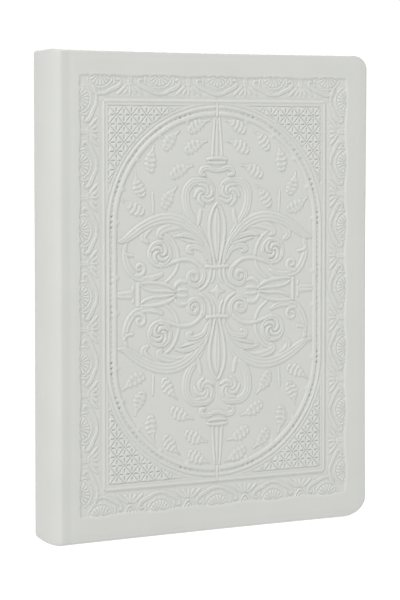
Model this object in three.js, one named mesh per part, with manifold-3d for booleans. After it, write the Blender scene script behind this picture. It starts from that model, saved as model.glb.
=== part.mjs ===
// A hollow-back, leather-bound prayer book standing on its tail edge, closed.
// Millimetres, +Z up. The front cover faces -Y, the spine is at -X and the pages open at +X.
// The origin is on the table, under the middle of the book.
import * as THREE from "three";
import { mergeVertices } from "three/addons/utils/BufferGeometryUtils.js";
import Module from "manifold-3d";

const wasm = await Module();
wasm.setup();

// ---------- driving dimensions ----------
const pageWidth = 148; // A5 leaves
const pageHeight = 210;
const square = 3; // how far a cover stands past the pages at head and tail
const foreSquare = 3.5; // the same at the fore-edge
const coverHeight = pageHeight + 2 * square;
const bookThickness = 30.5;
const spineBulge = 5.3; // how far the spine stands behind the line of the joints
const headCornerRadius = 7; // cover corner at head and fore-edge
const tailCornerWidth = 12; // the tail corner is a longer curve
const tailCornerHeight = 9;

const leather = 0.8;
const board = 2.4;
const turnIn = 0.45; // leather pared thin where it is turned over the board's edge
const pastedown = 0.2;
const glue = 0.05; // gap between glued layers
const coverStack = leather + board + turnIn + pastedown + 4 * glue;

const boardBack = 6; // from the joint line to the board's spine edge
const hingeX = 3; // from the joint line to the line that the cover turns about
const hingeGap = 0.15; // each side of that line
const turnInWidth = 15;
const pastedownMargin = 3;
const hingeClothWidth = 24;
const sideGap = 0.3;

const leafThickness = 0.25;
const leafPitch = 0.35;
const frontLeaves = 5; // flyleaf and four printed leaves that turn with it
const backLeaves = 3; // flyleaf and two printed leaves
const leafBack = hingeX + 0.5; // spine edge of a turning leaf
const sectionCount = 13; // folded and sewn sections between the turning leaves
const sectionGap = 0.04;

// ---------- derived places ----------
const half = bookThickness / 2;
const blockHalf = half - coverStack; // half the thickness of the pages
const foldRound = 3; // how far the spine of the pages is rounded
const foldShoulder = 1.1; // where that curve meets the outer sections
const leafEdge = foldShoulder - 0.4 + pageWidth; // fore-edge of the outer leaves
const coverWidth = leafEdge + foreSquare - 0.7;
const jointX = -(coverWidth - spineBulge) / 2; // the joint line in the part's frame
const pageFoot = square;
const pageHead = square + pageHeight;

// ---------- materials ----------
const material = (color, roughness) =>
  new THREE.MeshStandardMaterial({ color, roughness, metalness: 0 });
const coverLeather = material(0xd5d6d1, 0.55);
const greyBoard = material(0x9c968c, 0.9);
const endPaper = material(0xf1ede2, 0.8);
const pagePaper = material(0xefe9da, 0.85);
const liningPaper = material(0xb99b6b, 0.9);
const linenCloth = material(0xe3dccb, 0.95);
const bandSilk = material(0xf4f1e8, 0.5);

const book = new THREE.Group();

function add(name, geometry, itsMaterial) {
  const mesh = new THREE.Mesh(geometry, itsMaterial);
  mesh.name = name;
  mesh.position.x = jointX;
  book.add(mesh);
  return mesh;
}

// ---------- geometry helpers: x is measured from the joint line ----------

// A closed XY outline carried from z0 up to z1.
function upright(points, z0, z1) {
  const shape = new THREE.Shape(points.map(([x, y]) => new THREE.Vector2(x, y)));
  const geometry = new THREE.ExtrudeGeometry(shape, { depth: z1 - z0, bevelEnabled: false });
  return geometry.translate(0, 0, z0);
}

// A closed XZ shape given thickness between two depths, on the front (side -1) or the back (side 1).
function plate(shape, depthA, depthB, side) {
  const near = side < 0 ? depthB - half : half - depthA;
  const geometry = new THREE.ExtrudeGeometry(shape, {
    depth: depthB - depthA,
    bevelEnabled: false,
    curveSegments: 14,
  });
  return geometry.rotateX(Math.PI / 2).translate(0, near, 0);
}

function rectangle(x0, x1, z0, z1) {
  const shape = new THREE.Shape();
  shape.moveTo(x0, z0).lineTo(x1, z0).lineTo(x1, z1).lineTo(x0, z1).closePath();
  return shape;
}

// The cover's outline, drawn in by inset, from x0 to the fore-edge.
function coverOutline(x0, inset) {
  const x1 = coverWidth - inset;
  const z0 = inset;
  const z1 = coverHeight - inset;
  const headRadius = Math.max(headCornerRadius - inset, 1);
  const tailWidth = Math.max(tailCornerWidth - inset, 1);
  const tailHeight = Math.max(tailCornerHeight - inset, 1);
  const shape = new THREE.Shape();
  shape.moveTo(x0, z0);
  shape.lineTo(x1 - tailWidth, z0);
  shape.absellipse(x1 - tailWidth, z0 + tailHeight, tailWidth, tailHeight, -Math.PI / 2, 0, false, 0);
  shape.lineTo(x1, z1 - headRadius);
  shape.absarc(x1 - headRadius, z1 - headRadius, headRadius, 0, Math.PI / 2, false);
  shape.lineTo(x0, z1);
  shape.closePath();
  return shape;
}

function solidFrom(geometry) {
  const bare = geometry.index ? geometry.toNonIndexed() : geometry.clone();
  bare.deleteAttribute("normal");
  bare.deleteAttribute("uv");
  const merged = mergeVertices(bare, 1e-4);
  return new wasm.Manifold(
    new wasm.Mesh({
      numProp: 3,
      vertProperties: new Float32Array(merged.attributes.position.array),
      triVerts: new Uint32Array(merged.index.array),
    }),
  );
}

function geometryFrom(solid) {
  const mesh = solid.getMesh();
  const geometry = new THREE.BufferGeometry();
  geometry.setAttribute("position", new THREE.BufferAttribute(mesh.vertProperties, 3));
  geometry.setIndex(new THREE.BufferAttribute(mesh.triVerts, 1));
  return geometry;
}

function cut(geometry, ...tools) {
  let solid = solidFrom(geometry);
  for (const tool of tools) solid = solid.subtract(solidFrom(tool));
  return geometryFrom(solid);
}

// Points on half an ellipse that bulges to -X: reach is its half-width in Y, bulge its depth, and
// swing how far round it goes each side of the middle.
function arcPoints(reach, bulge, swing = Math.PI / 2, steps = 28) {
  return Array.from({ length: steps + 1 }, (_, i) => {
    const angle = -swing + (2 * swing * i) / steps;
    return [-bulge * Math.cos(angle), reach * Math.sin(angle)];
  });
}

// A layer of the spine: the band between two such arcs, drawn in from the leather's outer face.
function spineLayer(depthA, depthB, swing, z0, z1) {
  const outer = arcPoints(half - depthA, spineBulge - depthA, swing);
  const inner = arcPoints(half - depthB, spineBulge - depthB, swing).reverse();
  return upright([...inner, ...outer].reverse(), z0, z1);
}

// ---------- covers ----------

// The leather of one cover: its face, its walls over the board's edges and the turned-in strips.
function coverLeatherShell(side) {
  const innerFace = leather + board + 2 * glue;
  const back = innerFace + turnIn;
  const clear = 1;
  const block = plate(coverOutline(hingeX + hingeGap, 0), 0, back, side);
  const jointRelief = plate(
    rectangle(0, boardBack, -clear, coverHeight + clear),
    leather,
    back + clear,
    side,
  );
  const boardSpace = plate(coverOutline(boardBack - clear, leather), leather, innerFace, side);
  const window = plate(
    coverOutline(boardBack - clear, leather + turnInWidth),
    innerFace - clear,
    back + clear,
    side,
  );
  return cut(block, jointRelief, boardSpace, window);
}

function addCover(name, side) {
  const boardStart = leather + glue;
  const fillStart = boardStart + board + glue;
  const fillEnd = fillStart + turnIn;
  const clothEdge = boardBack + hingeClothWidth;
  const fillInset = leather + turnInWidth + sideGap;
  const boardOutline = coverOutline(boardBack + glue, leather + glue);
  const clothOutline = rectangle(boardBack + glue, clothEdge, fillInset, coverHeight - fillInset);
  const fillOutline = rectangle(
    clothEdge + sideGap,
    coverWidth - fillInset,
    fillInset,
    coverHeight - fillInset,
  );
  const paperOutline = rectangle(
    boardBack + glue,
    coverWidth - pastedownMargin,
    pastedownMargin,
    coverHeight - pastedownMargin,
  );
  add(`${name}_leather`, coverLeatherShell(side), coverLeather);
  add(`${name}_board`, plate(boardOutline, boardStart, boardStart + board, side), greyBoard);
  add(`${name}_hinge_cloth`, plate(clothOutline, fillStart, fillEnd, side), linenCloth);
  add(`${name}_infill_card`, plate(fillOutline, fillStart, fillEnd, side), liningPaper);
  const paperStart = fillEnd + glue;
  add(`${name}_pastedown`, plate(paperOutline, paperStart, paperStart + pastedown, side), endPaper);
}

// ---------- spine ----------

function spineLeather() {
  const strip = hingeX - hingeGap;
  const outer = arcPoints(half, spineBulge);
  const inner = arcPoints(half - leather, spineBulge - leather).reverse();
  const outline = [
    [strip, -half],
    ...outer,
    [strip, half],
    [strip, half - leather],
    ...inner,
    [strip, leather - half],
  ];
  return upright(outline.reverse(), 0, coverHeight);
}

// Open-weave cloth over the folds, with a flange along each shoulder.
function spineMull(depthA, depthB, z0, z1) {
  const flange = hingeX - sideGap;
  const outer = arcPoints(half - depthA, spineBulge - depthA);
  const inner = arcPoints(half - depthB, spineBulge - depthB).reverse();
  const outline = [
    [flange, depthA - half],
    ...outer,
    [flange, half - depthA],
    [flange, half - depthB],
    ...inner,
    [flange, depthB - half],
  ];
  return upright(outline.reverse(), z0, z1);
}

function addSpine() {
  const stiffenerInset = 1.5; // the stiffener stops short of head and tail
  const layers = { stiffener: [0.9, 1.5], lining: [2.1, 2.4], mull: [2.45, 2.65], tape: [2.7, 3.0] };
  const liningSwing = 1.3;
  const tapeSwing = 1.1;
  const tapeWidth = 12;
  const tapeCount = 4;
  add("spine_leather", spineLeather(), coverLeather);
  add(
    "spine_stiffener",
    spineLayer(...layers.stiffener, 1.2, stiffenerInset, coverHeight - stiffenerInset),
    greyBoard,
  );
  add("spine_lining", spineLayer(...layers.lining, liningSwing, pageFoot, pageHead), liningPaper);
  add("spine_mull", spineMull(...layers.mull, pageFoot + 8, pageHead - 8), linenCloth);
  for (let i = 0; i < tapeCount; i += 1) {
    const middle = pageFoot + (pageHeight * (i + 1)) / (tapeCount + 1);
    const tape = spineLayer(...layers.tape, tapeSwing, middle - tapeWidth / 2, middle + tapeWidth / 2);
    add(`sewing_tape_${i + 1}`, tape, linenCloth);
  }
}

// ---------- pages ----------

// The rounded spine of the pages: where a fold lies, at depth y.
function foldX(y) {
  const reach = blockHalf + 1;
  return foldShoulder - foldRound * Math.sqrt(1 - (y / reach) ** 2);
}

function addLeaves() {
  const leafAt = (name, depth, side, itsMaterial) => {
    const outline = rectangle(leafBack, leafEdge, pageFoot, pageHead);
    add(name, plate(outline, depth, depth + leafThickness, side), itsMaterial);
  };
  leafAt("front_flyleaf", coverStack, -1, endPaper);
  for (let i = 1; i < frontLeaves; i += 1)
    leafAt(`front_leaf_${i}`, coverStack + i * leafPitch, -1, pagePaper);
  leafAt("back_flyleaf", coverStack, 1, endPaper);
  for (let i = 1; i < backLeaves; i += 1)
    leafAt(`back_leaf_${i}`, coverStack + i * leafPitch, 1, pagePaper);
}

// One folded and sewn section: its fold is a half-round, and its fore-edge follows the same curve.
function sectionOutline(y0, y1) {
  const middle = (y0 + y1) / 2;
  const radius = (y1 - y0) / 2;
  const foldSteps = 6;
  const fold = Array.from({ length: foldSteps + 1 }, (_, i) => {
    const angle = Math.PI / 2 + (Math.PI * i) / foldSteps;
    return [foldX(middle) + radius + radius * Math.cos(angle), middle + radius * Math.sin(angle)];
  });
  return [...fold, [foldX(y0) + pageWidth, y0], [foldX(y1) + pageWidth, y1]];
}

function addSections() {
  const first = -blockHalf + frontLeaves * leafPitch;
  const last = blockHalf - backLeaves * leafPitch;
  const pitch = (last - first) / sectionCount;
  for (let i = 0; i < sectionCount; i += 1) {
    const y0 = first + i * pitch;
    const label = String(i + 1).padStart(2, "0");
    const outline = sectionOutline(y0, y0 + pitch - sectionGap);
    add(`section_${label}`, upright(outline, pageFoot, pageHead), pagePaper);
  }
}

// A silk-wound cord that follows the folds, at the head or the tail of the pages.
function addEndBand(name, z) {
  const radius = 0.9;
  const reach = blockHalf - 1.5;
  const behindFold = 1.6;
  const points = Array.from({ length: 13 }, (_, i) => {
    const y = -reach + (2 * reach * i) / 12;
    return new THREE.Vector3(foldX(y) + behindFold, y, z);
  });
  const section = new THREE.Shape();
  section.absarc(0, 0, radius, 0, 2 * Math.PI, false);
  const geometry = new THREE.ExtrudeGeometry(section, {
    steps: 24,
    curveSegments: 5,
    extrudePath: new THREE.CatmullRomCurve3(points),
  });
  add(name, geometry, bandSilk);
}

addCover("front", -1);
addCover("back", 1);
addSpine();
addLeaves();
addSections();
addEndBand("head_band", pageHead + 1.1);
addEndBand("tail_band", pageFoot - 1.1);

export default book;
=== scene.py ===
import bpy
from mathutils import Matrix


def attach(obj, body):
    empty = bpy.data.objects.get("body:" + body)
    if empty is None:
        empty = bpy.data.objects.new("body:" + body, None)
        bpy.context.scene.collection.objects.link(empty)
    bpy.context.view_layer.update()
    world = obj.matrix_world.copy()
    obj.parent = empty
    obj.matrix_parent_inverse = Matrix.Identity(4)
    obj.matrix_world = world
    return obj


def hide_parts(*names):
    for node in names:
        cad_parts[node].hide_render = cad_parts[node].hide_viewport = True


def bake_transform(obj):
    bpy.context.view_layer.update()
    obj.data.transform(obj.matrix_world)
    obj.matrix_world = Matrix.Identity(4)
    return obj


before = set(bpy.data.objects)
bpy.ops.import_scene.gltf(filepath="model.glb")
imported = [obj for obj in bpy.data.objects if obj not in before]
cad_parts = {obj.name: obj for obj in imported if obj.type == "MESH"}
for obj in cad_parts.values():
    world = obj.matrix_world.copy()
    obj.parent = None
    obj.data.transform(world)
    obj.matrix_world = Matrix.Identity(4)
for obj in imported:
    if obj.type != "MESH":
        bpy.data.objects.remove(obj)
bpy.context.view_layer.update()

import math

import bpy
import numpy as np
from mathutils import Vector

# A leather-bound prayer book. Lengths are millimetres until make_mesh() turns them into metres.
# x runs from the joint line to the fore-edge, depth from a cover's outer face into the book,
# and side is -1 for the front cover and 1 for the back.
MM = 0.001
COVER_W, COVER_H = 151.5, 216.0
HALF = 15.25  # half the book's thickness
SPINE_BULGE = 5.3
JOINT_X = -(COVER_W - SPINE_BULGE) / 2
HINGE_X = 3.0
HEAD_R = 7.0
TAIL_W, TAIL_H = 12.0, 9.0
ROLL = 1.3  # how roundly the leather turns over the board's edge
INNER_ROLL = 0.45  # and how roundly it turns in behind it
TURN_IN = 6.5
EDGE_HOLLOW = 0.45  # how far the fore-edge bows in at mid-height
END_DIP = 0.30  # and the head and tail edges at mid-width
RIM_SINK = 0.22  # the face falls away by this much at its rim
COVER_DEPTH = 3.75  # from a cover's outer face to its pastedown
JOINT_DEPTH = 1.9  # leather and cloth at the joint
GROOVE_X, GROOVE_DEPTH = 3.6, 0.18
PAGE_Z0, PAGE_Z1 = 3.0, 213.0
PAGE_END = 148.7
BLOCK_HALF = 11.2  # half the thickness of the pages
SECTIONS, SECTION_LEAVES = 13, 14
LEAF_STEP, LEAF_THICKNESS = 0.35, 0.17
BAND_HALF, BAND_THREADS = BLOCK_HALF - 2.2, 30
SEED = 7

# The embossed plate, measured from its middle. One quarter is drawn, and mirrored both ways.
PLATE_CX, PLATE_CZ = 74.1, 108.5
PLATE_X, PLATE_Y = 66.8, 97.5
GROUND = -0.38
EMBOSSING = 1.3
RING_R, RING_Y = 51.1, 30.4  # the ring is a stadium: its radius, and where its straight sides end
RING_HALF = 2.75
FRAME_X, FRAME_Y = 54.3, 85.2
SHELLS_X, SHELLS_Y = 28.2, 28.8  # from one shell to the next along the border
SHELL_R = 4.95
SHELL_RIBS = 9
BORDER_RELIEF = 0.86
RHOMB_X, RHOMB_Y = 7.2, 8.0
LATTICE_X, LATTICE_Y = 38.0, 75.3
BEAD_PITCH = 2.3
# how strongly painted shade darkens deep places and painted highlight lightens high ones, by what is around
# them
PLAIN_SHADE, FAN_SHADE, LATTICE_SHADE = 0.12, 0.5, 0.4

LEATHER = (0.543, 0.550, 0.525)
# the leather's colour with painted shade in a groove and with a painted highlight on a crest, as shares of
# LEATHER
PAINTED_SHADE_COLOR, PAINTED_HIGHLIGHT_COLOR = 0.64, 1.25
CREAM = (0.78, 0.73, 0.61)


# ---------- ornament ----------


def smooth(t):
    t = np.clip(t, 0, 1)
    return t * t * (3 - 2 * t)


def line(d, half, soft=0.35):
    """1 on a line of that half-width, falling to 0 beside it; d is the distance from its middle."""
    return 1 - smooth((np.abs(d) - half) / soft + 0.5)


def hollow(d, half):
    """1 where d is 0, falling off roundly on both sides."""
    return np.exp(-((d / half) ** 2))


def catmull(points, step=0.3):
    """A smooth curve through points (x, y, half-width), as closely spaced samples."""
    p = np.array(points, float)
    p = np.vstack([2 * p[0] - p[1], p, 2 * p[-1] - p[-2]])
    out = []
    for a, b, c, d in zip(p, p[1:], p[2:], p[3:]):
        n = max(2, int(np.hypot(*(c - b)[:2]) / step))
        t = np.linspace(0, 1, n, endpoint=False)[:, None]
        square = (2 * a - 5 * b + 4 * c - d) * t**2
        cube = (3 * b - a - 3 * c + d) * t**3
        out.append(0.5 * (2 * b + (c - a) * t + square + cube))
    out.append(p[-2][None])
    return np.vstack(out)


def spiral(cx, cy, r0, r1, start, turns, w0, w1, n=14):
    """Points of a volute that winds in from radius r0 to r1; turns is negative for clockwise."""
    k = max(4, int(abs(turns) * n))
    out = []
    for i in range(k + 1):
        t = i / k
        a = math.radians(start) + 2 * math.pi * turns * t
        r = r0 * (r1 / r0) ** t
        out.append((cx + r * math.cos(a), cy + r * math.sin(a), w0 + (w1 - w0) * t))
    return out


class Relief:
    """Heights over one quarter of the plate, and how strongly painted shade may darken or painted highlight
    lighten each point.
    """

    def __init__(self, xs, ys):
        self.xs, self.ys = xs, ys
        self.x, self.y = np.meshgrid(xs, ys)
        self.h = np.full(self.x.shape, GROUND)
        self.shade = np.full(self.x.shape, PLAIN_SHADE)

    def window(self, x0, x1, y0, y1):
        i = np.searchsorted(self.xs, (x0, x1))
        j = np.searchsorted(self.ys, (y0, y1))
        return slice(j[0], j[1]), slice(i[0], i[1])

    def stroke(self, points, top=0.33, flutes=1, groove=0.10):
        """Lays a raised band along the points, over whatever is there, with a groove each side."""
        beside, fall = 0.9, 0.42
        s = catmull(points)
        reach = s[:, 2].max() + beside
        lo, hi = s[:, :2].min(0) - reach, s[:, :2].max(0) + reach
        win = self.window(lo[0], hi[0], lo[1], hi[1])
        x, y, h = self.x[win], self.y[win], self.h[win]
        if not x.size:
            return
        best = np.full(x.shape, 1e9)
        off = np.zeros(x.shape)
        width = np.ones(x.shape)
        tan = np.gradient(s[:, :2], axis=0)
        tan /= np.linalg.norm(tan, axis=1)[:, None] + 1e-9
        x0, y0 = self.xs[win[1]], self.ys[win[0]]
        for (px, py, w), (tx, ty) in zip(s, tan):
            r = w + beside
            i = np.searchsorted(x0, (px - r, px + r))
            j = np.searchsorted(y0, (py - r, py + r))
            q = slice(j[0], j[1]), slice(i[0], i[1])
            dx, dy = x[q] - px, y[q] - py
            d = np.hypot(dx, dy) / w
            m = d < best[q]
            best[q] = np.where(m, d, best[q])
            off[q] = np.where(m, np.sign(tx * dy - ty * dx), off[q])
            width[q] = np.where(m, w, width[q])
        t = np.clip(best, 0, 1)
        fluting = 0.70 - 0.30 * np.cos(math.pi * flutes * (off * t + 1))
        band = (1 - t**4) * fluting
        inside = best < 1
        out = (best - 1) * width
        around = h - groove * np.exp(-((out / fall) ** 2)) * (h > GROUND - 0.2)
        near = inside | (out < beside)
        h[...] = np.where(inside, GROUND + top * band, np.where(near, around, h))

    def dot(self, cx, cy, r, height, power=1.0):
        win = self.window(cx - r, cx + r, cy - r, cy + r)
        d = np.hypot(self.x[win] - cx, self.y[win] - cy) / r
        self.h[win] += height * np.clip(1 - d**2, 0, 1) ** power


def sprig(rel, x0, y0, x1, y1, bend=0.06):
    """A small teardrop leaf with ribbed lobes, from its pointed tail to its broad head."""
    n = math.hypot(x1 - x0, y1 - y0)
    ux, uy = (x1 - x0) / n, (y1 - y0) / n
    reach = n / 2 + 1.5
    mx, my = (x0 + x1) / 2, (y0 + y1) / 2
    win = rel.window(mx - reach, mx + reach, my - reach, my + reach)
    dx, dy = rel.x[win] - x0, rel.y[win] - y0
    s = (dx * ux + dy * uy) / n
    t = -dx * uy + dy * ux - bend * n * np.sin(np.pi * np.clip(s, 0, 1))
    lobes = 5
    blade = 0.36 + 2.35 * smooth((s - 0.10) / 0.48)
    blunt = np.sqrt(np.clip(1 - (np.clip(s - 0.70, 0, None) / 0.36) ** 2, 0, 1))
    scallop = 1 + 0.19 * np.cos(2 * np.pi * lobes * s) * smooth((s - 0.25) / 0.2)
    w = blade * blunt * scallop + 1e-3
    k = np.abs(t) / w
    inside = (k < 1) & (s > -0.02) & (s < 1.06)
    ribs = np.cos(2 * np.pi * (lobes * s + 0.55 * k**2 - 0.1))
    body = 0.22 + 0.15 * ribs * smooth((s - 0.2) / 0.2) - 0.10 * hollow(t, 0.3) * smooth((s - 0.3) / 0.2)
    h = rel.h[win]
    side = np.maximum((k - 1) * w, 0)
    rim = (s > -0.05) & (s < 1.1) & (side < 0.9) & ~inside
    h[...] = np.where(inside, GROUND + body * (1 - k**6), np.where(rim, h - 0.10 * hollow(side, 0.4), h))


def shell(rel, cx, cy, outward, corner):
    """A ribbed fan at the plate's edge, its scalloped rim, and a ribbon over it with hooked ends.

    The shell nearest the corner has its ribbon cut short on that side, where it meets its neighbour's.
    """
    ox, oy = outward
    u = ((rel.x - cx) * abs(oy) + (rel.y - cy) * abs(ox))
    v = -((rel.x - cx) * ox + (rel.y - cy) * oy)
    open_side = v > -0.3
    v = v + 0.2
    r = np.hypot(u, v)
    ang = np.arctan2(u, v)
    lobe = np.abs(np.cos(ang * SHELL_RIBS))
    near = open_side & (r < 7.3)
    rel.h[near] = GROUND
    edge = SHELL_R + 0.35 * lobe
    dome = (0.28 + 0.08 * lobe) * (1 - 0.25 * (r / 5.0) ** 2)
    ribs = 0.34 * line(lobe * r / SHELL_RIBS, 0.08, 0.34)
    hub = 0.20 * (1 - smooth((r - 0.9) / 0.5))
    fan = open_side & (r < edge)
    rel.h[fan] = (GROUND + np.maximum(dome - ribs, 0) + hub)[fan]
    # the fan's ribs get strong painted shade and painted highlight
    rel.shade[fan] = FAN_SHADE
    rim_r = edge + 1.05
    rim = open_side & (np.abs(r - rim_r) < 0.8) & (np.abs(ang) < 1.35)
    crest = (0.20 + 0.10 * lobe) * (1 - smooth((np.abs(ang) - 1.1) / 0.25))
    rel.h[rim] = (GROUND + crest * line(r - rim_r, 0.35, 0.5))[rim]

    for s in (-1, 1):
        over = [(0, 8.7, 0.7), (s * 2.6, 8.3, 0.8), (s * 5.2, 7.0, 0.9)]
        if corner and s > 0:
            rel.stroke(turned(cx, cy, outward, over), 0.36, 2, 0.12)
            continue
        over += [(s * 7.4, 6.0, 1.0), (s * 9.2, 4.9, 0.85), (s * 9.9, 3.2, 0.7)]
        over += [(s * 8.9, 2.2, 0.6), (s * 7.9, 2.7, 0.4)]
        rel.stroke(turned(cx, cy, outward, over), 0.36, 2, 0.12)
        hook = [(s * 6.4, 4.6, 0.3), (s * 7.0, 3.0, 0.6), (s * 6.5, 1.2, 0.45)]
        rel.stroke(turned(cx, cy, outward, hook), 0.30, 1, 0.06)


def turned(cx, cy, outward, points):
    """Points given along the border and in from the plate's edge, as points of the plate."""
    ox, oy = outward
    return [(cx + u * abs(oy) - v * ox, cy + u * abs(ox) - v * oy, w) for u, v, w in points]


def palmette(rel, cx, cy, outward, pricked):
    """A winged foot by the frame, with a pricked neck or a small gable at the plate's edge."""

    def stroke(points, top):
        rel.stroke(turned(cx, cy, outward, points), top, 1, 0.12)

    for s in (-1, 1):
        stroke([(s * 0.7, 5.2, 0.4), (s * 2.6, 6.2, 0.9), (s * 4.4, 7.6, 0.95), (s * 5.9, 9.1, 0.45)], 0.33)
        stroke([(s * 0.3, 5.6, 0.4), (s * 1.3, 7.0, 0.9), (s * 2.6, 8.6, 0.8)], 0.30)
    stroke([(0, 5.4, 0.4), (0, 7.4, 0.75), (0, 9.1, 0.5)], 0.34)
    if not pricked:
        for w in (3.0, 1.5):
            stroke([(-w, 0.4, 0.5), (0, 0.9 + 1.15 * w, 0.55), (w, 0.4, 0.5)], 0.34)
        return
    stroke([(-2.0, 5.0, 0.45), (0, 4.7, 0.5), (2.0, 5.0, 0.45)], 0.36)
    stroke([(0, 0.6, 2.1), (0, 4.0, 1.8)], 0.26)
    for v in (0.9, 1.9, 2.9, 3.9):
        pricks = [(u * (1.1 - v * 0.06), v, 0) for u in (-1.35, 0, 1.35)]
        for x, y, _ in turned(cx, cy, outward, pricks):
            rel.dot(x, y, 0.55, -0.22)


def border(rel, pricked):
    """The band between the frame and the plate's edge, with its shells and palmettes."""
    band = (rel.x > FRAME_X + 0.9) | (rel.y > FRAME_Y + 0.9)
    rel.h[band] = GROUND + 0.04
    for k in (0, 1):
        palmette(rel, SHELLS_X * (k + 0.5), PLATE_Y, (0, 1), pricked)
    for k in (0, 1, 2):
        palmette(rel, PLATE_X, SHELLS_Y * (k + 0.5), (1, 0), True)
        shell(rel, SHELLS_X * k, PLATE_Y - 0.2, (0, 1), k == 2)
    for k in (0, 1, 2, 3):
        shell(rel, PLATE_X - 0.2, SHELLS_Y * k, (1, 0), k == 3)
    rel.h[band] = GROUND + BORDER_RELIEF * (rel.h - GROUND)[band]


def cross_arm(a, b):
    """1 on the two arms of a small cross that lie along a."""
    length = np.abs(a)
    half = 0.18 + 0.12 * smooth((length - 0.6) / 1.4)
    return line(b, half, 0.42) * smooth((length - 0.4) / 0.4) * (1 - smooth((length - 2.3) / 0.6))


def lattice(rel, q):
    """Rhombs in the corners, each with a small cross. The narrow strip above the ring has none."""
    x, y = rel.x, rel.y
    corner = (q > 1.5) & (x < FRAME_X) & (y < FRAME_Y) & (y > RING_Y - 0.4)
    u = (x - LATTICE_X) / RHOMB_X + (y - LATTICE_Y) / RHOMB_Y
    v = (x - LATTICE_X) / RHOMB_X - (y - LATTICE_Y) / RHOMB_Y
    slope = 1 / math.hypot(1 / RHOMB_X, 1 / RHOMB_Y)
    du = (u - np.round(u)) * slope
    dv = (v - np.round(v)) * slope
    i, j = np.floor(u) + 0.5, np.floor(v) + 0.5
    ex = x - LATTICE_X - (i + j) * RHOMB_X / 2
    ey = y - LATTICE_Y - (i - j) * RHOMB_Y / 2
    arms = np.maximum(cross_arm(ex, ey), cross_arm(ey, ex))
    rhombs = np.maximum(line(du, 0.15, 0.38), line(dv, 0.15, 0.38))
    raised = 0.38 - 0.38 * np.maximum(rhombs, arms)
    rel.h[corner] = (GROUND + raised)[corner]
    # strong painted shade in the lattice's grooves and painted highlight on its rhombs
    rel.shade[corner & (q > 4.2) & (x < FRAME_X - 2.4) & (y < FRAME_Y - 2.4)] = LATTICE_SHADE
    above = corner & (y > FRAME_Y - 4.5) & (x < 24)
    away = smooth((x - 16) / 8)
    rel.h[above] = (GROUND + 0.22 * (1 - away) + raised * away)[above]
    rel.shade[above] = PLAIN_SHADE


def frame_lines(rel):
    """The double line round the lattice."""
    x, y = rel.x, rel.y
    fx = np.where(y < FRAME_Y, x - FRAME_X, 99)
    fy = np.where(x < FRAME_X, y - FRAME_Y, 99)
    f = np.where(np.abs(fx) < np.abs(fy), fx, fy)
    outer = 0.42 * line(f - 0.35, 0.42, 0.36)
    inner = 0.27 * line(f + 1.3, 0.3, 0.36)
    bed = 0.17 * line(f + 0.5, 0.8, 0.3)
    raised = np.maximum(bed, np.maximum(outer, inner))
    raised = raised - (0.13 * hollow(f - 1.75, 0.4) + 0.05 * hollow(f + 2.1, 0.3))
    on = np.abs(f + 0.25) < 1.6
    rel.h = np.where(np.abs(f) < 2.4, np.where(on, GROUND + raised, rel.h + raised), rel.h)


def ring_point(s):
    """Where the ring's middle line is, s along it, and which way is out."""
    if s < RING_Y:
        return RING_R, s, 1.0, 0.0
    a = (s - RING_Y) / RING_R
    return RING_R * math.cos(a), RING_Y + RING_R * math.sin(a), math.cos(a), math.sin(a)


def ring(rel, q):
    """Two ribs with a row of pricks between them, and studs at intervals."""
    x, y = rel.x, rel.y
    along = np.where(y < RING_Y, y, RING_Y + RING_R * np.arctan2(y - RING_Y, np.maximum(x, 1e-6)))
    on = np.abs(q) < RING_HALF
    rh = 0.10 + 0.30 * np.maximum(line(q + 1.45, 0.72, 0.5), line(q - 1.45, 0.42, 0.5))
    beads = smooth(0.25 + 0.75 * np.cos(2 * np.pi * along / BEAD_PITCH))
    rh -= (0.07 + 0.24 * beads) * line(q - 0.1, 0.22, 0.4)
    rh -= 0.07 * hollow(q + 1.55, 0.3)
    rh = rh * (1 - smooth((np.abs(q) - 2.25) / 0.45))
    rel.h = np.where(on, GROUND + rh, rel.h - 0.06 * hollow(np.abs(q) - RING_HALF, 0.35))
    clear = (q > 2.45) & (q < 4.1) & (x < FRAME_X - 1.7) & (y < FRAME_Y - 1.7)
    rel.h[clear] = (GROUND + 0.12 + 0.18 * line(q - 3.15, 0.3, 0.4))[clear]
    for s in (7.8, 32.2, 47.8, 63.5, 79.3, 95.0):
        bx, by, nx, ny = ring_point(s)
        rel.dot(bx - 2.6 * nx, by - 2.6 * ny, 1.4, 0.30, 1.3)
        rel.dot(bx + 0.1 * nx, by + 0.1 * ny, 1.7, 0.16)
        rel.dot(bx + 0.1 * nx, by + 0.1 * ny, 0.95, -0.40)
        for side in (-2.5, 2.5):
            cx, cy, ox, oy = ring_point(s + side)
            rel.dot(cx + 0.1 * ox, cy + 0.1 * oy, 0.75, -0.30)


def whirl(rel, cx, cy, reach, start, blades):
    """Curved blades turning in to a small hub, like a rosette seen from above."""
    for k in range(blades):
        points = []
        for t in np.linspace(0, 1, 5):
            a = math.radians(start + (k * 360 / blades + 125 * t))
            r = reach * (1 - 0.80 * t)
            half = (0.45 + 1.0 * math.sin(math.pi * (0.15 + 0.8 * t))) * reach / 6
            points.append((cx + r * math.cos(a), cy + r * math.sin(a), half))
        rel.stroke(points, 0.35, 1, 0.12)
    rel.dot(cx, cy, 0.9, 0.12)


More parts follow.
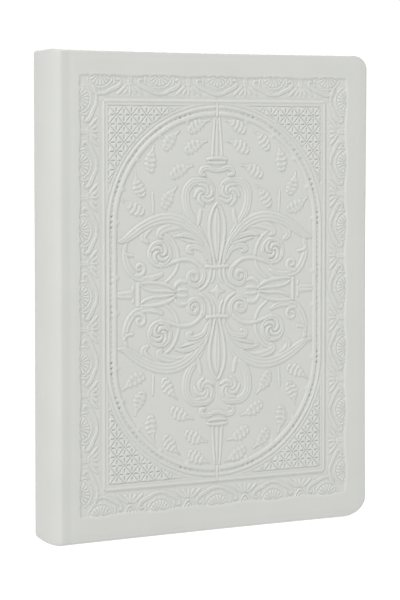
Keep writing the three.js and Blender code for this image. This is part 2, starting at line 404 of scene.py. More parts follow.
def scrolls(rel):
    """The stems, volutes and rosettes of the middle. A stroke's points are (x, y, half-width)."""
    stroke = rel.stroke
    # stems behind the rosette, and the scroll that turns under the leaf's tip
    stroke([(25.3, 5, 0.7), (21, 9, 0.85), (19.1, 14, 0.9), (19.6, 19, 0.9), (22.2, 24, 0.85),
            (26.4, 27.4, 0.6)], 0.28)
    stroke([(27, 8.8, 0.8), (31, 7.2, 1.3), (36, 6.7, 1.7), (41, 8.9, 1.8), (43.9, 13.6, 1.7),
            (44.9, 19, 1.2), (43.8, 24.4, 0.7)], 0.35, 2)
    stroke([(45.2, 19.8, 0.8), (44.2, 17.9, 0.9), (41, 17.3, 0.65)], 0.35)
    stroke(spiral(37.8, 11.7, 3.6, 0.9, -60, -1.1, 1.1, 0.6), 0.35)
    # small volute, its stem and the rosette
    stroke(spiral(11.4, 6.9, 5.6, 1.1, 120, 1.7, 1.25, 0.7), 0.35, 2)
    stroke([(8, 11.2, 0.9), (12.2, 14.2, 1), (17.5, 14.8, 0.95), (22, 13.7, 0.95), (27.5, 12, 1.1)], 0.36)
    stroke(spiral(27.9, 17.9, 5.2, 4.9, -100, 0.95, 1.2, 0.9), 0.36, 2)
    whirl(rel, 27.9, 17.9, 4.3, 20, 4)
    # inner scroll and its volute
    rise = [(3.2, 12.4, 0.8), (4.2, 18, 1.2), (7.2, 24.8, 1.5), (11.2, 31, 1.8), (14.6, 37.2, 2)]
    rise.append((15.6, 43, 2))
    over = spiral(8.6, 44, 6.7, 6.2, 20, 0.12, 2, 1.9, 20)
    wind_in = spiral(6.6, 44.8, 5.2, 4.6, 75, 0.32, 1.7, 1)
    stroke(rise + over + wind_in, 0.36, 3)
    whirl(rel, 6.3, 43.9, 4.9, 60, 5)
    stroke([(8.2, 36.4, 1), (8.9, 32.6, 1.2), (10.2, 28.6, 0.5)], 0.32)


def acanthus(rel):
    """The long leaf that arches out from the collar, with its side lobes."""
    stroke = rel.stroke
    stroke([(25.5, 33.2, 1), (31.3, 31, 2), (35, 27.8, 2.1), (36, 24.8, 1.5), (34, 23.2, 0.9)], 0.34, 2)
    stroke([(12.5, 28, 0.8), (18, 30, 1.8), (23.5, 29.4, 2.1), (27.2, 28, 1.9), (28.6, 26.3, 1.3),
            (27.4, 25.2, 0.9)], 0.34, 2)
    stroke([(3.4, 13, 0.9), (5, 19, 1.6), (9.4, 25.8, 2.1), (15.4, 31, 2.5), (22.5, 33.4, 2.6),
            (29.5, 32.8, 2.5), (36, 30.1, 2.4), (41, 26.9, 2.1), (44.5, 24.5, 1.5),
            (47.6, 23.7, 0.8)], 0.38, 3)
    stroke([(7, 21.6, 0.7), (10.8, 24.5, 1.2), (15.5, 25.8, 1.2), (21, 25.3, 0.4)], 0.33, 2)
    stroke([(6, 18.8, 0.6), (9.2, 21.7, 1), (13.2, 22.8, 0.9), (18, 24.2, 0.4)], 0.31)
    stroke([(4.7, 14.8, 0.7), (6.8, 18.6, 1.1), (10.4, 20.4, 1.3), (13.7, 20.2, 1.3), (14.4, 18.7, 1.1),
            (12.4, 17.9, 0.8)], 0.35, 2)


def bud_and_collar(rel):
    stroke = rel.stroke
    stroke([(1.1, 12.4, 0.7), (2.1, 17, 0.8), (3.4, 23, 0.85), (3.9, 29, 0.9), (3.2, 34, 0.85),
            (1.6, 38, 0.7), (0, 39.9, 0.6)], 0.36)
    stroke([(0, 14, 0.5), (0, 20, 1.2), (0, 28, 1.9), (0, 33, 1.6), (0, 37.2, 0.5)], 0.32, 2)
    stroke([(3.2, 10, 0.8), (3.8, 6, 0.8), (5.6, 3, 0.8), (8.6, 1, 0.6)], 0.32)
    stroke([(1.2, 9.6, 0.7), (1.6, 6.4, 0.7), (2.8, 4.2, 0.5)], 0.3)
    stroke([(-1, 11.2, 0.95), (2, 11.2, 0.95), (5.2, 11.5, 0.85)], 0.40)


def star(rel):
    """A four-pointed star in the plate's middle."""
    win = rel.window(-1, 5, -1, 5)
    x, y = np.abs(rel.x[win]), np.abs(rel.y[win])
    a = np.clip((x / 4.9) ** 0.6 + (y / 4.5) ** 0.6, 0, 3)
    top = GROUND + 0.37 * np.sqrt(np.clip(1 - a**2, 0, 1))
    rel.h[win] = np.where(a < 1, top, rel.h[win] - 0.10 * hollow(a - 1, 0.12))


def side_finial(rel):
    stroke = rel.stroke
    stroke([(14.8, 1.3, 0.7), (17.4, 1.5, 0.9), (20.4, 0.9, 0.6)], 0.3)
    stroke([(15.4, 4.9, 1), (18, 5.2, 1.2), (20, 4, 1), (21, 2.3, 0.6)], 0.36)
    stroke([(20.2, 0.9, 0.5), (23.5, 3.3, 0.9), (28.5, 4.7, 1), (33.5, 5.2, 0.9), (37.4, 4.9, 0.6)], 0.35)
    stroke([(21, 0.5, 0.5), (26, 1.2, 0.75), (31, 1.4, 0.75), (35, 2.4, 0.65), (37.4, 4.2, 0.5)], 0.32)
    stroke([(38.4, -6, 1.05), (38.4, 0, 1.05), (38.4, 4.8, 0.95)], 0.38)
    stroke([(41, -6, 0.8), (41, 0, 0.8), (41, 3.3, 0.7)], 0.35)
    stroke([(42.4, 0, 2.1), (45, 0, 1.8), (48.8, 0, 1.4)], 0.35, 2)


def top_finial(rel):
    stroke = rel.stroke
    stroke([(0, 61, 0.6), (0, 68, 0.9), (0, 79.8, 0.5)], 0.2)
    stroke([(2.4, 60.8, 0.65), (1.8, 70, 0.65), (1, 79.8, 0.55)], 0.36)
    stroke([(-1, 60.1, 0.85), (2, 60.1, 0.85), (4.6, 59.6, 0.75)], 0.38)
    stroke([(-1, 57.8, 0.7), (2, 57.9, 0.7), (4.2, 58.2, 0.65)], 0.35)
    stroke([(-1, 54.4, 0.9), (2.2, 54.9, 0.95), (5, 55.8, 1.1), (7.6, 55, 1.2), (7.9, 53.1, 1),
            (5.9, 52.5, 0.7)], 0.37, 2)


def scattered_leaves(rel):
    rel.stroke([(31.2, 35.9, 0.4), (31.3, 40, 0.6), (31.6, 45, 0.4)], 0.32)
    for tail, head in (
        ((3.7, 77.2), (13.6, 72.3)),
        ((4.8, 67.8), (15.2, 63.2)),
        ((18.4, 72.4), (25.6, 64.4)),
        ((30.8, 66.0), (32.6, 54.6)),
        ((11.8, 56.9), (22.2, 52.2)),
        ((39.8, 53.6), (36.4, 43.8)),
        ((19.8, 47.4), (26.2, 38.4)),
        ((46.0, 42.0), (36.2, 36.2)),
    ):
        sprig(rel, *tail, *head)


def finial_tip(rel):
    """The top finial's tip lies over the ring, as far as the frame."""
    rel.stroke([(0, 79.4, 0.9), (0, 83.0, 0.65), (0, 86.2, 0.35)], 0.42, 1, 0.14)


def quarter(xs, ys, pricked):
    """One quarter of the plate; pricked is for the end whose border flowers have pricked necks."""
    rel = Relief(xs, ys)
    # how far each point is outside the ring's middle line
    q = np.where(rel.y < RING_Y, np.abs(rel.x), np.hypot(rel.x, rel.y - RING_Y)) - RING_R
    lattice(rel, q)
    border(rel, pricked)
    frame_lines(rel)
    for draw in (scrolls, acanthus, bud_and_collar, star, side_finial, top_finial, scattered_leaves):
        draw(rel)
    ring(rel, q)
    finial_tip(rel)
    return rel


def blur(a, passes=1):
    for _ in range(passes):
        p = np.pad(a, 1, mode="edge")
        a = (p[1:-1, :-2] + 2 * p[1:-1, 1:-1] + p[1:-1, 2:]) / 4
        p = np.pad(a, 1, mode="edge")
        a = (p[:-2, 1:-1] + 2 * p[1:-1, 1:-1] + p[2:, 1:-1]) / 4
    return a


def plate(nx, ny):
    """Heights over the plate on a grid of 2nx+1 by 2ny+1 points, and the painted shade or highlight at each
    point.

    The second runs from about -1, painted highlight on a sharp crest, to about 1, painted shade in a sharp
    groove.
    """
    xs = np.linspace(0, PLATE_X, nx + 1)
    ys = np.linspace(0, PLATE_Y, ny + 1)
    halves = []
    for pricked in (True, False):
        rel = quarter(xs, ys, pricked)
        # the plate's edge: its walls rise to the margin, in shallow scallops
        edge_x = PLATE_X - rel.x - 0.4 * (1 - np.cos(2 * np.pi * rel.y / SHELLS_Y))
        edge_y = PLATE_Y - rel.y - 0.4 * (1 - np.cos(2 * np.pi * rel.x / SHELLS_X))
        height = rel.h * smooth(np.minimum(edge_x, edge_y) / 0.8)
        halves.append([np.hstack([a[:, :0:-1], a]) for a in (height, rel.shade)])
    (head, head_shade), (tail, tail_shade) = halves
    full = np.vstack([tail[:0:-1], head])
    full = EMBOSSING * (0.75 * full + 0.25 * blur(full))
    shade = np.vstack([tail_shade[:0:-1], head_shade])
    # painted shade where a point lies below its blurred surroundings, painted highlight where it lies above
    return full, shade * np.clip((blur(full, 7) - full) / 0.14, -1, 1)


# ---------- meshes ----------


def make_mesh(name, points, quads, material, smooth=True):
    """A mesh object from points in millimetres (part frame) and quads."""
    points = np.asarray(points, float).reshape(-1, 3) * MM
    quads = np.asarray(quads, np.int32).reshape(-1, 4)
    mesh = bpy.data.meshes.new(name)
    mesh.vertices.add(len(points))
    mesh.vertices.foreach_set("co", points.astype(np.float32).ravel())
    mesh.loops.add(quads.size)
    mesh.loops.foreach_set("vertex_index", quads.ravel())
    mesh.polygons.add(len(quads))
    mesh.polygons.foreach_set("loop_start", np.arange(0, quads.size, 4, dtype=np.int32))
    mesh.polygons.foreach_set("use_smooth", np.full(len(quads), smooth))
    mesh.update(calc_edges=True)
    mesh.validate()
    obj = bpy.data.objects.new(name, mesh)
    bpy.context.collection.objects.link(obj)
    mesh.materials.append(material)
    return obj


def grid_quads(rows, cols, wrap=False, start=0, flip=False):
    """Quads of a rows by cols grid of points; wrap joins the last column to the first."""
    r, c = np.meshgrid(np.arange(rows - 1), np.arange(cols if wrap else cols - 1), indexing="ij")
    d = (c + 1) % cols
    q = np.stack([r * cols + c, r * cols + d, (r + 1) * cols + d, (r + 1) * cols + c], -1)
    q = q.reshape(-1, 4) + start
    return q[:, ::-1] if flip else q


def place(x, depth, z, side):
    """Part-frame millimetres from a cover's own coordinates."""
    x, depth, z = np.broadcast_arrays(x, depth, z)
    return np.stack([JOINT_X + x, side * (HALF - depth), z], -1)


def edge_profile(depth):
    """Inset and depth pairs of leather rolled over an edge and turned in; depth is an array."""
    steps = []
    for a in np.radians(np.linspace(0, 90, 7)[1:]):
        steps.append((ROLL * (1 - math.sin(a)), np.full(depth.shape, ROLL * (1 - math.cos(a)))))
    for a in np.radians(np.linspace(0, 90, 5)):
        steps.append((INNER_ROLL * (1 - math.cos(a)), depth - INNER_ROLL * (1 - math.sin(a))))
    steps.append((TURN_IN - 3.5, depth))
    steps.append((TURN_IN - 0.2, depth))
    steps.append((TURN_IN, depth - 0.4))
    return steps


# ---------- covers ----------


def margin_x_end(z):
    """Where the rolled edge starts at the fore-edge, at height z."""
    hollow_in = EDGE_HOLLOW * (1 - ((z - COVER_H / 2) / (COVER_H / 2)) ** 2)
    end = COVER_W - ROLL - hollow_in
    head = COVER_H - HEAD_R
    r = HEAD_R - ROLL
    if z > head:
        end = min(end, COVER_W - HEAD_R + math.sqrt(max(r * r - (z - head) ** 2, 0)))
    if z < TAIL_H:
        k = (TAIL_H - z) / (TAIL_H - ROLL)
        end = min(end, COVER_W - TAIL_W + (TAIL_W - ROLL) * math.sqrt(max(1 - k * k, 0)))
    return end


def joint_groove(x):
    return GROOVE_DEPTH * hollow(x - GROOVE_X, 1.7)


def cover_grid(nx, ny):
    """The x and z of the face's points, the plate's rows and columns, and where each row ends."""
    px0, px1 = PLATE_CX - PLATE_X, PLATE_CX + PLATE_X
    pz0, pz1 = PLATE_CZ - PLATE_Y, PLATE_CZ + PLATE_Y
    full = COVER_W - ROLL
    xs = np.concatenate([
        np.linspace(0, px0, 22)[:-1],
        np.linspace(px0, px1, 2 * nx + 1),
        np.linspace(px1, full, 13)[1:],
    ])
    quarter_turn = np.radians(np.linspace(0, 90, 13))
    zs = np.concatenate([
        TAIL_H - (TAIL_H - ROLL) * np.sin(quarter_turn[::-1]),
        np.linspace(TAIL_H, pz0, 4)[1:-1],
        np.linspace(pz0, pz1, 2 * ny + 1),
        np.linspace(pz1, COVER_H - HEAD_R, 6)[1:-1],
        COVER_H - HEAD_R + (HEAD_R - ROLL) * np.sin(quarter_turn),
    ])
    x, z = np.meshgrid(xs, zs)
    ends = np.array([margin_x_end(level) for level in zs])[:, None]
    hold = np.where((zs > pz0) & (zs < pz1), px1, px1 - 20)[:, None]
    x = np.where(x > hold, hold + (x - hold) * (ends - hold) / (full - hold), x)
    dip = END_DIP * (1 - ((x - COVER_W / 2) / (COVER_W / 2)) ** 2)
    z = np.where(z > pz1, z - dip * (z - pz1) / (COVER_H - ROLL - pz1), z)
    z = np.where(z < pz0, z + dip * (pz0 - z) / (pz0 - ROLL), z)
    rows = slice(np.searchsorted(zs, pz0 - 1e-6), np.searchsorted(zs, pz1 + 1e-6))
    cols = slice(np.searchsorted(xs, px0 - 1e-6), np.searchsorted(xs, px1 + 1e-6))
    return x, z, (rows, cols), ends


def inward_of(rim):
    """Unit vectors from the rim into the cover, smoothed along it."""
    ahead = np.roll(rim, -1, 0) - np.roll(rim, 1, 0)
    ahead[0] = ahead[1] = (1, 0)
    ahead[-1] = ahead[-2] = (-1, 0)
    ahead /= np.linalg.norm(ahead, axis=1)[:, None]
    for _ in range(6):
        ahead[1:-1] = (ahead[:-2] + 2 * ahead[1:-1] + ahead[2:]) / 4
        ahead /= np.linalg.norm(ahead, axis=1)[:, None]
    return np.stack([-ahead[:, 1], ahead[:, 0]], -1)


def cover_skin(name, side, nx, ny, material):
    """The leather of one cover, embossed, with its edges rolled over and turned in."""
    relief, painted_shading = plate(nx, ny)
    x, z, on_plate, ends = cover_grid(nx, ny)
    depth = joint_groove(x)
    depth[on_plate] -= np.minimum(relief, 0)
    rim_distance = np.minimum(ends - x, np.minimum(z - z.min(0), z.max(0) - z))
    depth += RIM_SINK * (1 - smooth(rim_distance / 4.5)) ** 2 * smooth(x / 8)
    face = place(x, depth, z, side).reshape(-1, 3)
    # painted shade in the plate's grooves and painted highlight on its crests, for the leather's colour
    painted_shade_and_highlight = np.zeros(x.shape)
    painted_shade_and_highlight[on_plate] = painted_shading

    # the rim, from the joint along the tail, up the fore-edge and back along the head
    index = np.arange(x.size).reshape(x.shape)
    rim_index = np.concatenate([index[0, :-1], index[:-1, -1], index[-1, ::-1]])
    rim = np.stack([x.ravel()[rim_index], z.ravel()[rim_index]], -1)
    rim_depth = depth.ravel()[rim_index]
    inward = inward_of(rim)
    full_depth = JOINT_DEPTH + (COVER_DEPTH - JOINT_DEPTH) * smooth((rim[:, 0] - HINGE_X) / 3.4)
    loops = []
    for inset, at in edge_profile(full_depth):
        xz = rim + (inset - ROLL) * inward
        sink = rim_depth * max(0.0, 1 - float(at.mean()) / 1.5)
        loops.append(place(np.maximum(xz[:, 0], 0), at + sink, xz[:, 1], side))
    points = np.concatenate([face] + loops)
    n = len(rim_index)
    ids = [rim_index] + [len(face) + k * n + np.arange(n) for k in range(len(loops))]
    quads = [grid_quads(*x.shape, flip=side > 0)]
    for a, b in zip(ids, ids[1:]):
        q = np.stack([a[:-1], b[:-1], b[1:], a[1:]], -1)
        quads.append(q[:, ::-1] if side > 0 else q)
    skin = make_mesh(name, points, np.concatenate(quads), material)
    shade = np.concatenate([painted_shade_and_highlight.ravel(), np.zeros(len(points) - len(face))])
    skin.data.attributes.new("painted_shade_and_highlight", "FLOAT", "POINT").data.foreach_set("value", shade)
    return skin


# ---------- spine ----------


def spine_skin(material):
    """The plain rounded leather of the spine, rolled over at head and tail."""
    turns = np.radians(np.linspace(-90, 90, 73))
    outline = [(inset, float(at[0])) for inset, at in edge_profile(np.array([JOINT_DEPTH]))]
    low = list(reversed(outline))
    high = [(COVER_H - inset, at) for inset, at in outline]
    middle = [(z, 0.0) for z in np.linspace(ROLL, COVER_H - ROLL, 60)]
    rows = []
    for z, at in low + middle + high:
        cap = END_DIP * np.sin(2 * np.abs(turns)) ** 2
        lift = cap * smooth((z - COVER_H + 12) / 12) - cap * smooth((12 - z) / 12)
        x = -(SPINE_BULGE - at) * np.cos(turns)
        y = (HALF - at) * np.sin(turns)
        rows.append(np.stack([JOINT_X + x, y, np.clip(z + lift, 0, None)], -1))
    quads = grid_quads(len(rows), len(turns), flip=True)
    return make_mesh("spine_leather_skin", np.array(rows), quads, material)


# ---------- paper and bands ----------


def sheet_box(grid_a, grid_b):
    """Points and quads of a thin closed sheet between two grids of points."""
    rows, cols, _ = grid_a.shape
    n = rows * cols
    points = np.concatenate([grid_a.reshape(-1, 3), grid_b.reshape(-1, 3)])
    quads = [grid_quads(rows, cols), grid_quads(rows, cols, start=n, flip=True)]
    index = np.arange(n).reshape(rows, cols)
    rim = np.concatenate([index[0, :-1], index[:-1, -1], index[-1, :0:-1], index[:0:-1, 0]])
    after = np.roll(rim, -1)
    quads.append(np.stack([rim, rim + n, after + n, after], -1))
    return points, np.concatenate(quads)


def leaf(name, side, depth, thickness, x_end, material):
    """One leaf or pasted sheet, finely divided near the spine."""
    start, fine_end = 1.7, 26
    xs = np.concatenate([np.linspace(start, fine_end, 42)[:-1], np.linspace(fine_end, x_end, 16)])
    zs = np.linspace(PAGE_Z0, PAGE_Z1, 15)
    x, z = np.meshgrid(xs, zs)
    a = place(x, depth, z, side)
    b = place(x, depth + thickness, z, side)
    points, quads = sheet_box(a, b)
    if side > 0:
        quads = quads[:, ::-1]
    return make_mesh(name, points, quads, material, smooth=False)


def fold_x(y):
    """Where the folds of the sections are, from the joint line: an arc over the block's thickness."""
    return 1.1 - 3.0 * np.sqrt(1 - (y / (BLOCK_HALF + 1)) ** 2)


def section(name, y0, y1, rng, edges, faces):
    """A folded and sewn section: its leaves lie one on the next, folded at the spine."""
    pitch = (y1 - y0) / SECTION_LEAVES
    middle, radius = (y0 + y1) / 2, (y1 - y0) / 2
    points, quads = [], []
    for i in range(SECTION_LEAVES):
        a = y0 + i * pitch
        b = a + pitch * 0.86
        y = (a + b) / 2
        back = radius - math.sqrt(max(radius**2 - (y - middle) ** 2, 0))
        start = fold_x(middle) + 0.05 + 0.6 * back
        end = fold_x(y) + 148 + rng.uniform(-0.10, 0.04)
        z0 = PAGE_Z0 + rng.uniform(0, 0.07)
        z1 = PAGE_Z1 - rng.uniform(0, 0.07)
        x, z = np.meshgrid([start, start + 3, 40, 110, end - 3, end], [z0, COVER_H / 2, z1])
        grid_a = np.stack([JOINT_X + x, np.full(x.shape, a), z], -1)
        grid_b = np.stack([JOINT_X + x, np.full(x.shape, b), z], -1)
        p, q = sheet_box(grid_a, grid_b)
        quads.append(q + sum(len(k) for k in points))
        points.append(p)
    piece = make_mesh(name, np.concatenate(points), np.concatenate(quads), edges, smooth=False)
    piece.data.materials.append(faces)
    normals = np.empty(3 * len(piece.data.polygons))
    piece.data.polygons.foreach_get("normal", normals)
    broad = np.abs(normals[1::3]) > 0.9
    piece.data.polygons.foreach_set("material_index", broad.astype(np.int32))
    return piece


def end_band(name, z, direction, material):
    """Silk wound round a cord along the folds, at the head or tail of the pages."""
    steps, ring_points = BAND_THREADS * 6, 16
    ys = np.linspace(-BAND_HALF, BAND_HALF, steps + 1)
    turn = np.linspace(0, 2 * np.pi, ring_points, endpoint=False)
    y, t = np.meshgrid(ys, turn, indexing="ij")
    wave = np.abs(np.sin(np.pi * (y + BAND_HALF) / (2 * BAND_HALF) * BAND_THREADS + 0.5 * (t / np.pi)))
    closing = np.sqrt(np.clip(1 - (np.abs(y) / BAND_HALF) ** 30, 0.02, 1))
    r = (0.74 + 0.19 * wave) * closing
    px = fold_x(y) + 1.6 + r * np.cos(t)
    pz = z + direction * 0.05 + 1.05 * r * np.sin(t)
    points = np.stack([JOINT_X + px, y, pz], -1).reshape(-1, 3)
    quads = [grid_quads(steps + 1, ring_points, wrap=True)]
    for end, flip in ((0, False), (steps, True)):
        base = end * ring_points
        last = base + ring_points - 1
        half_way = range(ring_points // 2 - 1)
        cap = np.array([[base + k, last - k, last - 1 - k, base + k + 1] for k in half_way])
        quads.append(cap[:, ::-1] if flip else cap)
    return make_mesh(name, points, np.concatenate(quads), material)


# ---------- materials ----------


def new_material(name, color, roughness):
    material = bpy.data.materials.new(name)
    material.use_nodes = True
    nodes, links = material.node_tree.nodes, material.node_tree.links
    shader = nodes["Principled BSDF"]
    shader.inputs["Base Color"].default_value = (*color, 1)
    shader.inputs["Roughness"].default_value = roughness
    return material, nodes, links, shader


def scaled(color, factor):
    return tuple(min(1, c * factor) for c in color)


def noise(nodes, links, vector, scale, detail):
    made = nodes.new("ShaderNodeTexNoise")
    made.inputs["Scale"].default_value = scale
    made.inputs["Detail"].default_value = detail
    links.new(vector, made.inputs["Vector"])
    return made


def ramp(nodes, links, source, low, high, start=0.3, end=0.7):
    made = nodes.new("ShaderNodeValToRGB")
    made.color_ramp.elements[0].position = start
    made.color_ramp.elements[1].position = end
    made.color_ramp.elements[0].color = (*low, 1)
    made.color_ramp.elements[1].color = (*high, 1)
    links.new(source, made.inputs["Fac"])
    return made


def bump(nodes, links, height, strength, distance, under=None):
    made = nodes.new("ShaderNodeBump")
    made.inputs["Strength"].default_value = strength
    made.inputs["Distance"].default_value = distance
    links.new(height, made.inputs["Height"])
    if under:
        links.new(under.outputs["Normal"], made.inputs["Normal"])
    return made


def pebbled(nodes, links, where):
    """Height of the leather's pebbled grain: cells of about half a millimetre, a little irregular."""
    wander = noise(nodes, links, where, 1400, 2)
    shift = nodes.new("ShaderNodeVectorMath")
    shift.operation = "MULTIPLY_ADD"
    shift.inputs[1].default_value = (0.0005, 0.0005, 0.0005)
    links.new(wander.outputs["Color"], shift.inputs[0])
    links.new(where, shift.inputs[2])
    grain = nodes.new("ShaderNodeTexVoronoi")
    grain.feature = "DISTANCE_TO_EDGE"
    grain.inputs["Scale"].default_value = 1900
    links.new(shift.outputs["Vector"], grain.inputs["Vector"])
    pebble = nodes.new("ShaderNodeMapRange")
    pebble.inputs["From Max"].default_value = 0.35
    links.new(grain.outputs["Distance"], pebble.inputs["Value"])
    return pebble.outputs["Result"]


def leather_material(name, color):
    """Smooth pale leather. Where the attribute of painted shade and highlight is above zero, painted shade
    darkens it; below zero, a painted highlight lightens it.
    """
    material, nodes, links, shader = new_material(name, color, 0.5)
    where = nodes.new("ShaderNodeTexCoord").outputs["Object"]
    tint = noise(nodes, links, where, 55, 4)
    tinted = ramp(nodes, links, tint.outputs["Fac"], scaled(color, 0.985), scaled(color, 1.012))
    painted_shade_and_highlight = nodes.new("ShaderNodeAttribute")
    painted_shade_and_highlight.attribute_name = "painted_shade_and_highlight"
    toned = tinted.outputs["Color"]
    # painted shade darkens the colour where the attribute is above zero, and a painted highlight lightens
    # it below zero
    for sign, factor in ((1, PAINTED_SHADE_COLOR), (-1, PAINTED_HIGHLIGHT_COLOR)):
        share = nodes.new("ShaderNodeMath")
        share.operation = "MULTIPLY"
        share.inputs[1].default_value = sign
        links.new(painted_shade_and_highlight.outputs["Fac"], share.inputs[0])
        mix = nodes.new("ShaderNodeMix")
        mix.data_type = "RGBA"
        mix.inputs["B"].default_value = (*scaled(color, factor), 1)
        links.new(share.outputs["Value"], mix.inputs["Factor"])
        links.new(toned, mix.inputs["A"])
        toned = mix.outputs["Result"]
    links.new(toned, shader.inputs["Base Color"])
    gloss = noise(nodes, links, where, 900, 2)
    spread = nodes.new("ShaderNodeMapRange")
    spread.inputs["To Min"].default_value = 0.44
    spread.inputs["To Max"].default_value = 0.60
    links.new(gloss.outputs["Fac"], spread.inputs["Value"])
    links.new(spread.outputs["Result"], shader.inputs["Roughness"])
    fine = bump(nodes, links, pebbled(nodes, links, where), 0.15, 0.00005)
    soft = noise(nodes, links, where, 260, 3)
    broad = bump(nodes, links, soft.outputs["Fac"], 0.04, 0.0003, fine)
    links.new(broad.outputs["Normal"], shader.inputs["Normal"])
    return material


def paper_material(name, color, scale=600):
    material, nodes, links, shader = new_material(name, color, 0.85)
    where = nodes.new("ShaderNodeTexCoord").outputs["Object"]
    fibre = noise(nodes, links, where, scale, 5)
    finish_paper(nodes, links, shader, where, fibre, scaled(color, 0.965), color)
    return material


def page_edge_material(name, color):
    """The stacked edges of many leaves: the tone changes from leaf to leaf, and runs along each."""
    material, nodes, links, shader = new_material(name, color, 0.85)
    where = nodes.new("ShaderNodeTexCoord").outputs["Object"]
    stretch = nodes.new("ShaderNodeMapping")
    stretch.inputs["Scale"].default_value = (0.02, 1.0, 0.02)
    links.new(where, stretch.inputs["Vector"])
    fibre = noise(nodes, links, stretch.outputs["Vector"], 2600, 2)
    finish_paper(nodes, links, shader, where, fibre, scaled(color, 0.86), color)
    return material


def finish_paper(nodes, links, shader, where, fibre, low, high):
    shader.inputs["Specular IOR Level"].default_value = 0.25
    toned = ramp(nodes, links, fibre.outputs["Fac"], low, high)
    links.new(toned.outputs["Color"], shader.inputs["Base Color"])
    fine = noise(nodes, links, where, 2500, 4)
    rough = bump(nodes, links, fine.outputs["Fac"], 0.12, 0.00005)
    links.new(rough.outputs["Normal"], shader.inputs["Normal"])


def stripes(nodes, links, where, axis, period, distortion=0.0):
    """Smooth bands across an axis; period is in metres."""
    wave = nodes.new("ShaderNodeTexWave")
    wave.bands_direction = axis
    wave.inputs["Scale"].default_value = math.pi / (10 * period)
    wave.inputs["Distortion"].default_value = distortion
    links.new(where, wave.inputs["Vector"])
    return wave.outputs["Fac"]


def cloth_material(name, color, period):
    """Plain weave of threads that are this many metres apart."""
    material, nodes, links, shader = new_material(name, color, 0.9)
    where = nodes.new("ShaderNodeTexCoord").outputs["Object"]
    weave = nodes.new("ShaderNodeMath")
    weave.operation = "MAXIMUM"
    links.new(stripes(nodes, links, where, "X", period, 0.6), weave.inputs[0])
    links.new(stripes(nodes, links, where, "Z", period, 0.6), weave.inputs[1])
    toned = ramp(nodes, links, weave.outputs["Value"], scaled(color, 0.72), color, 0.2, 0.8)
    links.new(toned.outputs["Color"], shader.inputs["Base Color"])
    woven = bump(nodes, links, weave.outputs["Value"], 0.5, 0.0001)
    links.new(woven.outputs["Normal"], shader.inputs["Normal"])
    return material


def silk_material(name, color, second, period):
    """Threads of two colours wound side by side along y; period is a pair's width in metres."""
    material, nodes, links, shader = new_material(name, color, 0.55)
    where = nodes.new("ShaderNodeTexCoord").outputs["Object"]
    wound = ramp(nodes, links, stripes(nodes, links, where, "Y", period), second, color, 0.35, 0.65)
    links.new(wound.outputs["Color"], shader.inputs["Base Color"])
    return material


def dress(names, material):
    """Gives the CAD nodes that stay shown a finished material."""
    for name in names:
        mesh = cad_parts[name].data
        mesh.materials.clear()
        mesh.materials.append(material)


leather = leather_material("white_leather", LEATHER)
end_paper = paper_material("end_paper_sheet", (0.80, 0.77, 0.68))
page_paper = paper_material("page_paper_sheet", CREAM)
page_edges = page_edge_material("page_edge_stack", CREAM)
grey_board = paper_material("grey_board_raw", (0.33, 0.30, 0.26), 900)
kraft = paper_material("kraft_paper_raw", (0.48, 0.33, 0.15), 400)
linen = cloth_material("linen_weave", (0.72, 0.66, 0.54), 0.0008)
thread_pair = 4 * BAND_HALF / BAND_THREADS * MM
silk = silk_material("band_silk_thread", (0.80, 0.78, 0.70), (0.52, 0.44, 0.29), thread_pair)


# ---------- pieces ----------


def bend(piece, side, body, start, end):
    """Bakes the piece's placement into its mesh; side, body, start and end are not used."""
    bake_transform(piece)


COVERS = (
    ("front", -1, ((260, 380))),
    ("back", 1, ((147, 216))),
)
for label, side, (nx, ny) in COVERS:
    skin = cover_skin(f"{label}_cover_skin", side, nx, ny, leather)
    bend(skin, side, f"{label}_cover", 0.8, 5.6)
    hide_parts(f"{label}_leather")
    pasted = leaf(f"{label}_endpaper_pasted", side, 3.82, 0.16, 148.5, end_paper)
    bend(pasted, side, f"{label}_cover", 1.8, 6.6)
    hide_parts(f"{label}_pastedown")

spine = spine_skin(leather)
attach(spine, "text_block")
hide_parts("spine_leather")

LEAVES = (
    (-1, ("front_flyleaf", "front_leaf_1", "front_leaf_2", "front_leaf_3", "front_leaf_4")),
    (1, ("back_flyleaf", "back_leaf_1", "back_leaf_2")),
)
for side, names in LEAVES:
    for i, name in enumerate(names):
        fly = name.endswith("flyleaf")
        paper = end_paper if fly else page_paper
        page = leaf(f"{name}_sheet", side, 4.08 + LEAF_STEP * i, LEAF_THICKNESS, PAGE_END, paper)
        bend(page, side, f"{name}_body", 1.8, 18)
        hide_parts(name)

rng = np.random.default_rng(SEED)
first = -BLOCK_HALF + len(LEAVES[0][1]) * LEAF_STEP
last = BLOCK_HALF - len(LEAVES[1][1]) * LEAF_STEP
pitch = (last - first) / SECTIONS
for i in range(SECTIONS):
    y0 = first + i * pitch
    piece = section(f"section_{i + 1:02d}_leaves", y0, y0 + pitch - 0.04, rng, page_edges, page_paper)
    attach(piece, "text_block")
    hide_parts(f"section_{i + 1:02d}")

for name, z, direction in (("head_band", PAGE_Z1 + 1.1, 1), ("tail_band", PAGE_Z0 - 1.1, -1)):
    band = end_band(f"{name}_wound", z, direction, silk)
    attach(band, "text_block")
    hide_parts(name)

dress(("front_board", "back_board", "spine_stiffener"), grey_board)
dress(("front_infill_card", "back_infill_card", "spine_lining"), kraft)
dress(("front_hinge_cloth", "back_hinge_cloth", "spine_mull"), linen)
dress([f"sewing_tape_{i}" for i in (1, 2, 3, 4)], linen)


# ---------- studio ----------


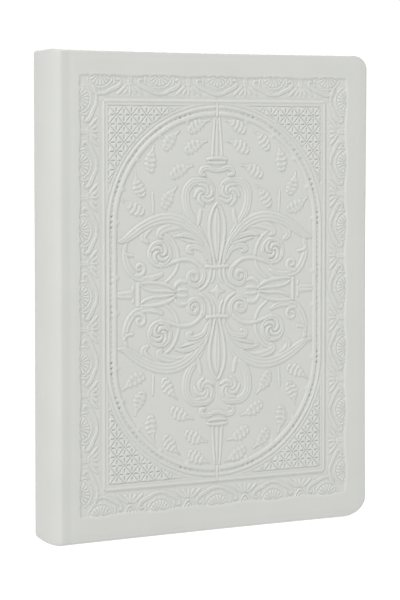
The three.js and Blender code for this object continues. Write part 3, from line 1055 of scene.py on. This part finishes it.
def glowing_white():
    """A floor that is white by its own light and a little by what falls on it."""
    material = bpy.data.materials.new("studio_floor")
    material.use_nodes = True
    nodes, links = material.node_tree.nodes, material.node_tree.links
    nodes.clear()
    out = nodes.new("ShaderNodeOutputMaterial")
    mix = nodes.new("ShaderNodeMixShader")
    mix.inputs["Fac"].default_value = 0.12
    glow = nodes.new("ShaderNodeEmission")
    glow.inputs["Color"].default_value = (1, 1, 0.99, 1)
    glow.inputs["Strength"].default_value = 1.15
    matt = nodes.new("ShaderNodeBsdfDiffuse")
    matt.inputs["Color"].default_value = (0.9, 0.9, 0.89, 1)
    links.new(glow.outputs["Emission"], mix.inputs[1])
    links.new(matt.outputs["BSDF"], mix.inputs[2])
    links.new(mix.outputs["Shader"], out.inputs["Surface"])
    return material


def white_sky():
    """White at the horizon, dimmer overhead."""
    world = bpy.context.scene.world or bpy.data.worlds.new("studio")
    bpy.context.scene.world = world
    world.use_nodes = True
    nodes, links = world.node_tree.nodes, world.node_tree.links
    nodes.clear()
    out = nodes.new("ShaderNodeOutputWorld")
    sky = nodes.new("ShaderNodeBackground")
    sky.inputs["Color"].default_value = (1, 1, 1, 1)
    where = nodes.new("ShaderNodeTexCoord")
    split = nodes.new("ShaderNodeSeparateXYZ")
    fade = nodes.new("ShaderNodeMapRange")
    fade.inputs["From Min"].default_value = 0.12
    fade.inputs["From Max"].default_value = 0.45
    fade.inputs["To Min"].default_value = 1.04
    fade.inputs["To Max"].default_value = 0.22
    links.new(where.outputs["Generated"], split.inputs["Vector"])
    links.new(split.outputs["Z"], fade.inputs["Value"])
    links.new(fade.outputs["Result"], sky.inputs["Strength"])
    links.new(sky.outputs["Background"], out.inputs["Surface"])


def area_light(name, place_mm, size_m, watts):
    """A square light that points at the middle of the book."""
    data = bpy.data.lights.new(name, "AREA")
    data.shape = "SQUARE"
    data.size = size_m
    data.energy = watts
    obj = bpy.data.objects.new(name, data)
    bpy.context.collection.objects.link(obj)
    obj.location = Vector(place_mm) * MM
    target = Vector((0, 0, 100))
    obj.rotation_euler = ((target - Vector(place_mm)) * MM).to_track_quat("-Z", "Y").to_euler()


def studio_camera(place_mm, turn, pitch, lens, shift_y):
    """The camera stands level with the book's head, a little to the left of its front cover."""
    data = bpy.data.cameras.new("camera")
    data.lens = lens
    data.shift_y = shift_y
    data.clip_end = 200
    camera = bpy.data.objects.new("camera", data)
    bpy.context.collection.objects.link(camera)
    camera.location = Vector(place_mm) * MM
    turn, pitch = math.radians(turn), math.radians(pitch)
    aim = Vector((math.sin(turn) * math.cos(pitch), math.cos(turn) * math.cos(pitch), -math.sin(pitch)))
    camera.rotation_euler = aim.to_track_quat("-Z", "Y").to_euler()
    bpy.context.scene.camera = camera


FLOOR_HALF, FLOOR_Z = 30000.0, -0.05
corners = [(x * FLOOR_HALF, y * FLOOR_HALF, FLOOR_Z) for x, y in ((-1, -1), (1, -1), (1, 1), (-1, 1))]
floor = make_mesh("studio_floor", corners, [(0, 1, 2, 3)], glowing_white(), smooth=False)
white_sky()
area_light("key", (-1400, -1340, 3000), 1.6, 106)
area_light("back_fill", (1700, 2300, 2400), 1.6, 90)
studio_camera((-330.15, -722.75, 178.9), turn=24.5, pitch=2.05, lens=104.27, shift_y=-0.171)
bpy.context.scene.view_settings.view_transform = "Standard"
bpy.context.scene.view_settings.look = "None"
